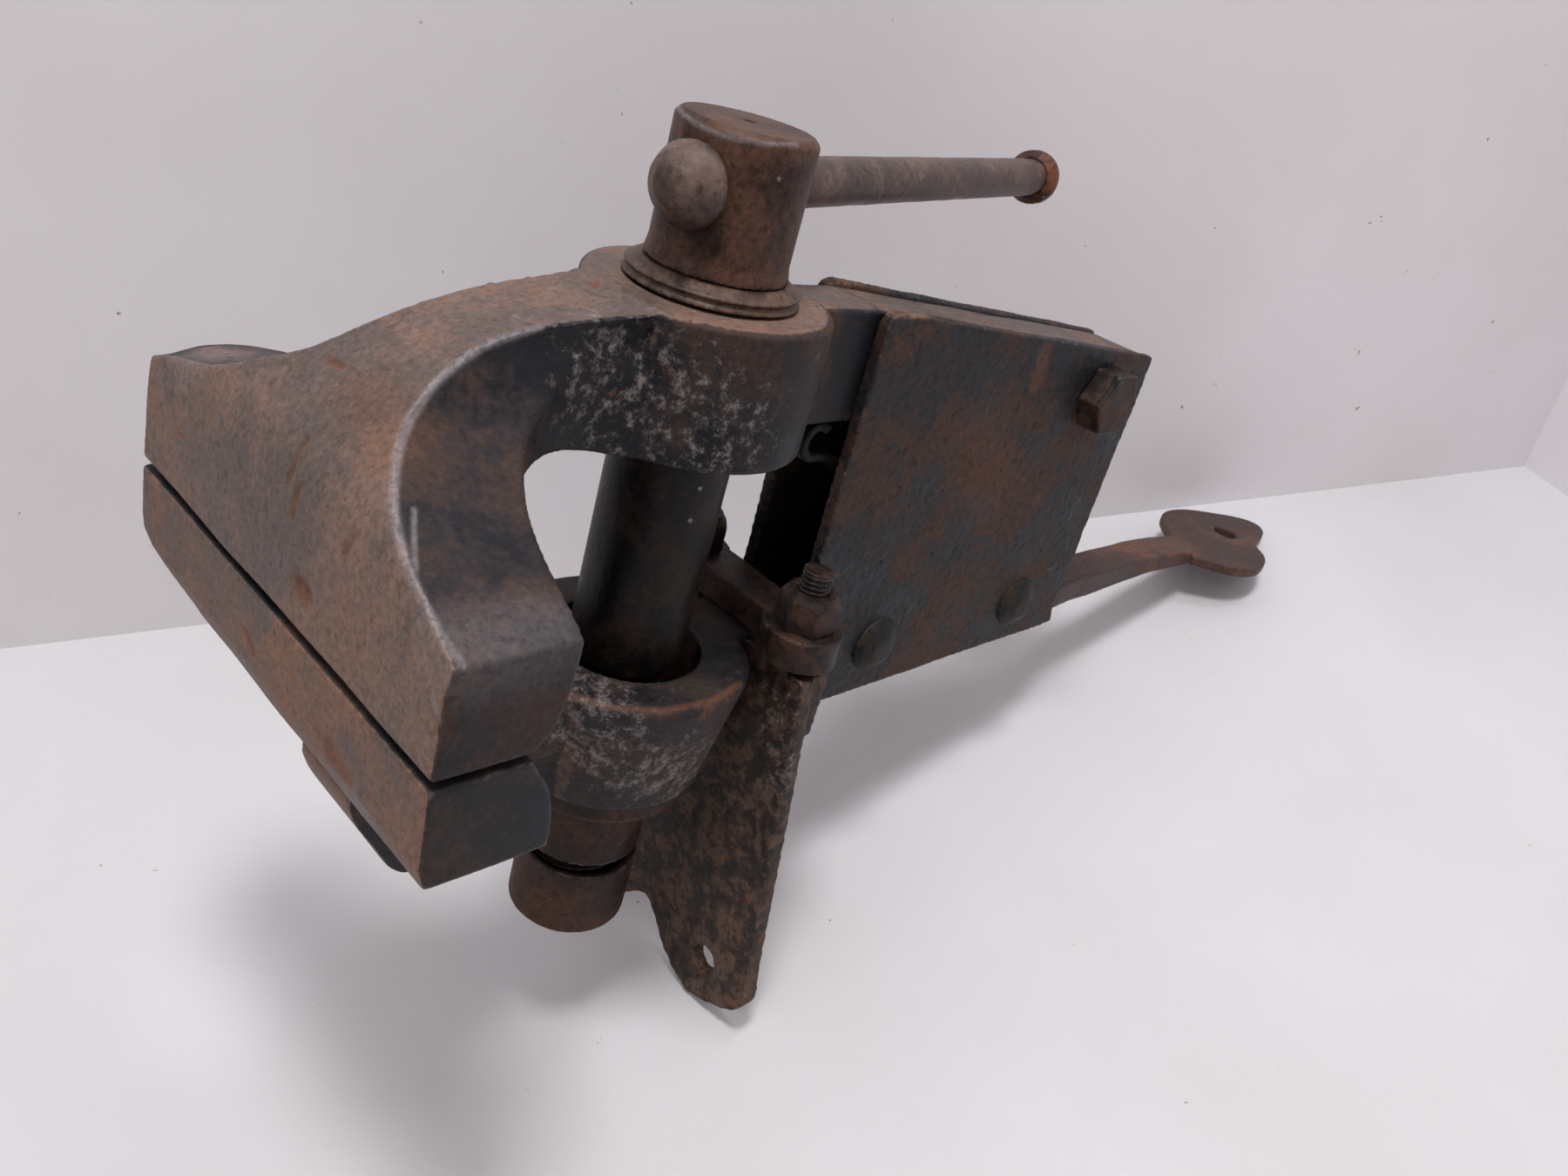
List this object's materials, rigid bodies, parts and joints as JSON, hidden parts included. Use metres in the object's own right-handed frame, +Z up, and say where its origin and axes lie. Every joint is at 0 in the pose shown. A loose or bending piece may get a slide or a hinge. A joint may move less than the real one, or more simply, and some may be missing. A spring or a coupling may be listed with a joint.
{
  "type": "leg vise",
  "caption": "Forged bench vise with hinged jaw leg, cheek plates, screw with sliding handle, clamped bench bracket and a tail foot, lying on a table.",
  "frame": {"origin": "bottom centre of the bounding box of the vise as it rests on a table", "axes": "+Z up; +X from the mouth of the jaws towards the foot; Y along the width of the jaws. The screw leans 14.05 degrees from +Z towards +X, because the vise stands on the two lobes of its bracket and the tip of its foot."},
  "size_m": [0.5278, 0.14, 0.2861],
  "materials": {
    "moving_jaw": "worn forged iron with rust patina",
    "fixed_jaw": "worn forged iron with rust patina",
    "near_cheek_plate": "worn forged iron with rust patina",
    "far_cheek_plate": "worn forged iron with rust patina",
    "front_cheek_rivet": "worn forged iron with rust patina",
    "rear_cheek_rivet": "worn forged iron with rust patina",
    "pivot_bolt": "worn forged iron with rust patina",
    "pivot_washer": "worn forged iron with rust patina",
    "pivot_nut": "worn forged iron with rust patina",
    "screw": "worn forged iron with rust patina",
    "thrust_collar": "worn forged iron with rust patina",
    "handle_bar": "worn forged iron with rust patina",
    "handle_button": "worn forged iron with rust patina",
    "screw_box": "worn forged iron with rust patina",
    "box_cap": "worn forged iron with rust patina",
    "bench_bracket": "worn forged iron with rust patina",
    "bracket_strap": "worn forged iron with rust patina",
    "near_stud": "worn forged iron with rust patina",
    "far_stud": "worn forged iron with rust patina",
    "near_clamp_nut": "worn forged iron with rust patina",
    "far_clamp_nut": "worn forged iron with rust patina",
    "spring_pad": "worn forged iron with rust patina",
    "spring_rivet": "worn forged iron with rust patina",
    "leaf_spring": "worn forged iron with rust patina"
  },
  "bodies": {
    "frame": {"fixed_jaw": "fixed_jaw", "near_cheek_plate": "near_cheek_plate", "far_cheek_plate": "far_cheek_plate", "front_cheek_rivet": "front_cheek_rivet", "rear_cheek_rivet": "rear_cheek_rivet", "pivot_bolt": "pivot_bolt", "pivot_washer": "pivot_washer", "pivot_nut": "pivot_nut", "bench_bracket": "bench_bracket", "bracket_strap": "bracket_strap", "near_stud": "near_stud", "far_stud": "far_stud", "near_clamp_nut": "near_clamp_nut", "far_clamp_nut": "far_clamp_nut", "spring_pad": "spring_pad", "spring_rivet": "spring_rivet"},
    "jaw": {"moving_jaw": "moving_jaw"},
    "box": {"screw_box": "screw_box", "box_cap": "box_cap"},
    "collar": {"thrust_collar": "thrust_collar"},
    "spindle": {"screw": "screw"},
    "handle": {"handle_bar": "handle_bar", "handle_button": "handle_button"},
    "spring": {"leaf_spring": "leaf_spring"}
  },
  "joints": [
    {"name": "jaw_hinge", "type": "hinge", "parent": "frame", "child": "jaw", "pos_m": [0.03561, 0, 0.16351], "axis": [0, 1, 0], "range_deg": [-0.3, 12]},
    {"name": "box_tilt", "type": "hinge", "parent": "frame", "child": "box", "pos_m": [-0.18544, 0, 0.05046], "axis": [0, 1, 0], "range_deg": [-0.1, 2.1]},
    {"name": "screw_travel", "type": "slide", "parent": "box", "child": "collar", "axis": [0.2427, 0, 0.9701], "range_m": [-0.0012, 0.0434]},
    {"name": "screw_spin", "type": "hinge", "parent": "collar", "child": "spindle", "pos_m": [-0.13609, 0, 0.2477], "axis": [0.2427, 0, 0.9701], "range_deg": [-50, 1950]},
    {"name": "handle_slide", "type": "slide", "parent": "spindle", "child": "handle", "axis": [-0.9413, -0.2419, 0.2355], "range_m": [0, 0.1844]},
    {"name": "spring_swing", "type": "hinge", "parent": "frame", "child": "spring", "pos_m": [0.0064, 0, 0.09949], "axis": [0, 1, 0], "range_deg": [-0.4, 12.6]}
  ],
  "couplings": [
    {"joint": "box_tilt", "follows": "jaw_hinge", "ratio": 0.17},
    {"joint": "screw_travel", "follows": "jaw_hinge", "m_per_rad": 0.2036},
    {"joint": "screw_spin", "follows": "jaw_hinge", "ratio": 159.91},
    {"joint": "spring_swing", "follows": "jaw_hinge", "ratio": 1.025}
  ]
}
